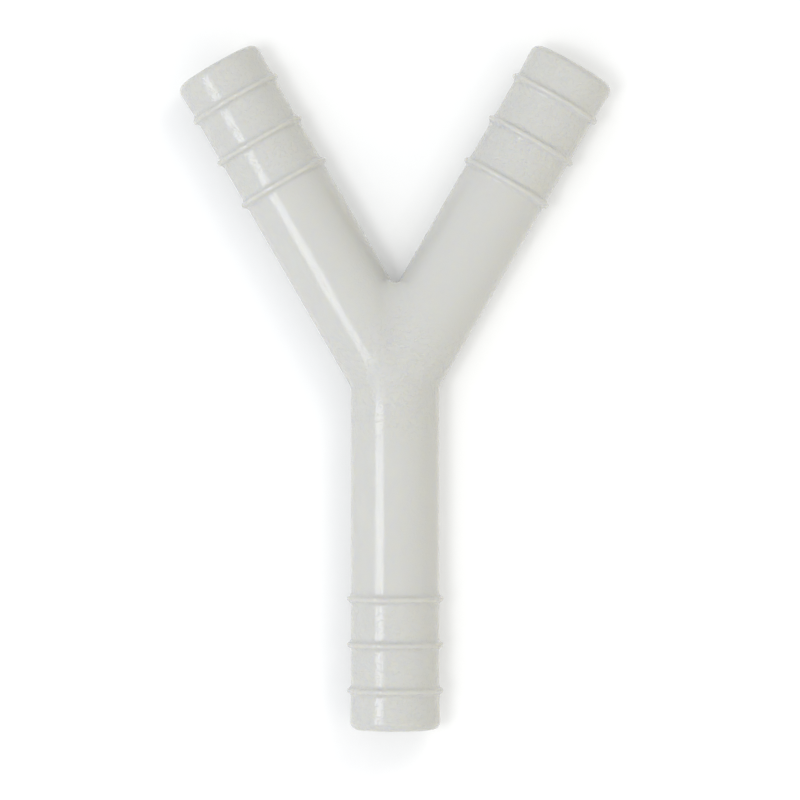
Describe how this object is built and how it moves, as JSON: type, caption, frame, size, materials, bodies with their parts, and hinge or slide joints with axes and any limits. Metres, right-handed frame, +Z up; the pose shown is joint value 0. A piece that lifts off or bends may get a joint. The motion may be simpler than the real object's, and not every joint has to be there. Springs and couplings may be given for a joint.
{
  "type": "tubing y connector",
  "caption": "Moulded Y connector for hoses: a straight stem that branches into angled arms, hollow throughout, with ribbed ends that grip the hose.",
  "frame": {"origin": "middle of the connector as it lies flat, at the height of the surface under it", "axes": "+Y from the stem towards the arms, +X towards the right arm seen from above, +Z up, across the plane of the legs"},
  "size_m": [0.062, 0.0984, 0.0139],
  "materials": {
    "milky_plastic": "translucent milky white, satin gloss with fine mould grain"
  },
  "bodies": {
    "root": {"y_connector": "milky_plastic"}
  },
  "joints": []
}
